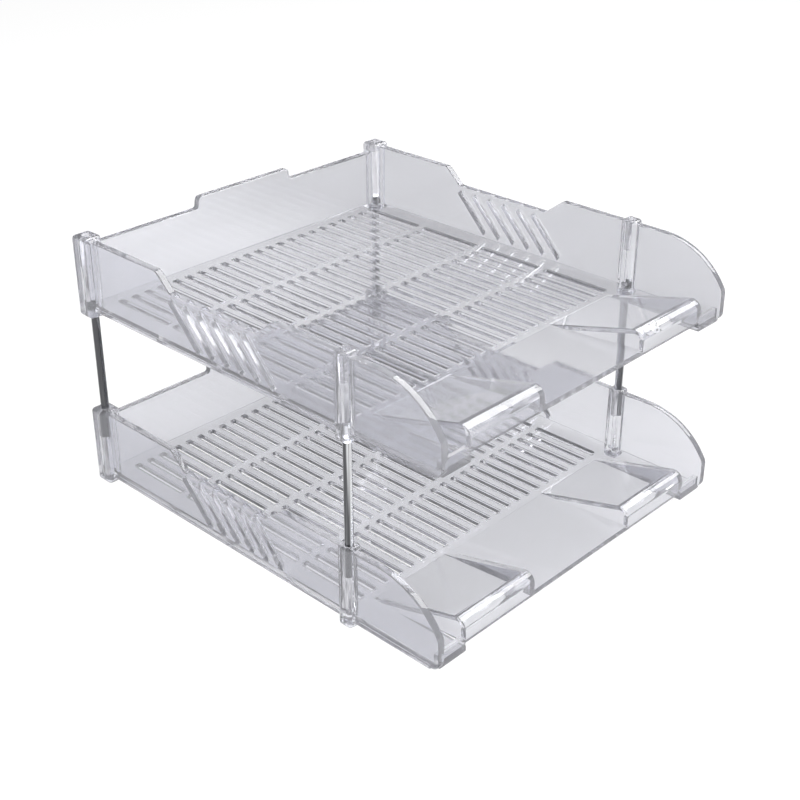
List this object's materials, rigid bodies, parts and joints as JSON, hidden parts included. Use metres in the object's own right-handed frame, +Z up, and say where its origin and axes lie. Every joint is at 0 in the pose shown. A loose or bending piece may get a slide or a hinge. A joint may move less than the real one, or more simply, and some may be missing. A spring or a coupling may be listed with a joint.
{
  "type": "tiered letter tray",
  "caption": "Stacked letter tray of clear plastic with slotted floors, dipped side walls and ramped front lips, the upper tray carried on plated rods in corner posts.",
  "frame": {"origin": "on the table, under the middle of the overall box", "axes": "+X to the right as seen from the open front, +Y to the back, +Z up"},
  "size_m": [0.2784, 0.3172, 0.1835],
  "materials": {
    "clear_plastic": "clear, polished moulding",
    "plated_steel": "bright plated"
  },
  "bodies": {
    "lower_tray": {"lower_floor_grid": "clear_plastic", "lower_front_apron": "clear_plastic", "lower_back_wall": "clear_plastic", "lower_left_wall": "clear_plastic", "lower_left_ear": "clear_plastic", "lower_left_sill": "clear_plastic", "lower_left_lip": "clear_plastic", "lower_left_back_post": "clear_plastic", "lower_left_front_post": "clear_plastic", "lower_right_wall": "clear_plastic", "lower_right_ear": "clear_plastic", "lower_right_sill": "clear_plastic", "lower_right_lip": "clear_plastic", "lower_right_back_post": "clear_plastic", "lower_right_front_post": "clear_plastic"},
    "upper_tray": {"upper_floor_grid": "clear_plastic", "upper_front_apron": "clear_plastic", "upper_back_wall": "clear_plastic", "upper_left_wall": "clear_plastic", "upper_left_ear": "clear_plastic", "upper_left_sill": "clear_plastic", "upper_left_lip": "clear_plastic", "upper_left_back_post": "clear_plastic", "upper_left_front_post": "clear_plastic", "upper_right_wall": "clear_plastic", "upper_right_ear": "clear_plastic", "upper_right_sill": "clear_plastic", "upper_right_lip": "clear_plastic", "upper_right_back_post": "clear_plastic", "upper_right_front_post": "clear_plastic"},
    "rod_left_front": {"left_front_rod": "plated_steel"},
    "rod_right_front": {"right_front_rod": "plated_steel"},
    "rod_left_back": {"left_back_rod": "plated_steel"},
    "rod_right_back": {"right_back_rod": "plated_steel"}
  },
  "joints": [
    {"name": "left_front_rod_lift", "type": "slide", "parent": "lower_tray", "child": "rod_left_front", "axis": [0, 0, 1], "range_m": [0, 0.03]},
    {"name": "right_front_rod_lift", "type": "slide", "parent": "lower_tray", "child": "rod_right_front", "axis": [0, 0, 1], "range_m": [0, 0.03]},
    {"name": "left_back_rod_lift", "type": "slide", "parent": "lower_tray", "child": "rod_left_back", "axis": [0, 0, 1], "range_m": [0, 0.03]},
    {"name": "right_back_rod_lift", "type": "slide", "parent": "lower_tray", "child": "rod_right_back", "axis": [0, 0, 1], "range_m": [0, 0.03]},
    {"name": "upper_tray_lift", "type": "slide", "parent": "rod_left_front", "child": "upper_tray", "axis": [0, 0, 1], "range_m": [0, 0.02]}
  ],
  "couplings": [
    {"joint": "right_front_rod_lift", "follows": "left_front_rod_lift", "ratio": 1},
    {"joint": "left_back_rod_lift", "follows": "left_front_rod_lift", "ratio": 1},
    {"joint": "right_back_rod_lift", "follows": "left_front_rod_lift", "ratio": 1}
  ]
}
